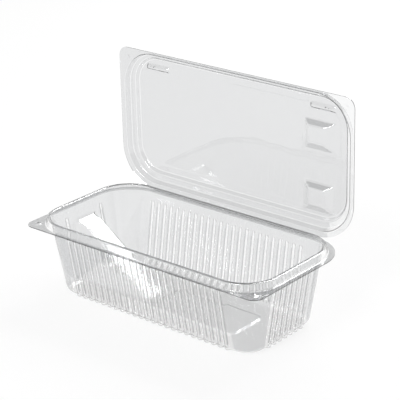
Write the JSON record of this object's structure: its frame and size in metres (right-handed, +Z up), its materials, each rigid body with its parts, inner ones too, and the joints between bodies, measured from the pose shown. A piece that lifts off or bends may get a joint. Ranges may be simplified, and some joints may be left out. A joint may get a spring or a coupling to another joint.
{
  "type": "hinged clamshell food pack",
  "caption": "Clear one-sheet hinged pack: a fluted, tapered tray with a ridged rim, and a stepped lid that folds over it and snaps at two corner tabs.",
  "frame": {"origin": "under the middle of the tray's floor, on the plane that it stands on", "axes": "+X along the fold line, +Y towards the fold at the back, +Z up"},
  "size_m": [0.2128, 0.117, 0.1611],
  "materials": {
    "clear_sheet": "clear glossy thermoformed sheet"
  },
  "bodies": {
    "tray": {"tray": "clear_sheet"},
    "lid": {"lid": "clear_sheet"}
  },
  "joints": [
    {"name": "lid_hinge", "type": "hinge", "parent": "tray", "child": "lid", "pos_m": [0, 0.0552, 0.05335], "axis": [1, 0, 0], "range_deg": [-90, 90]}
  ]
}
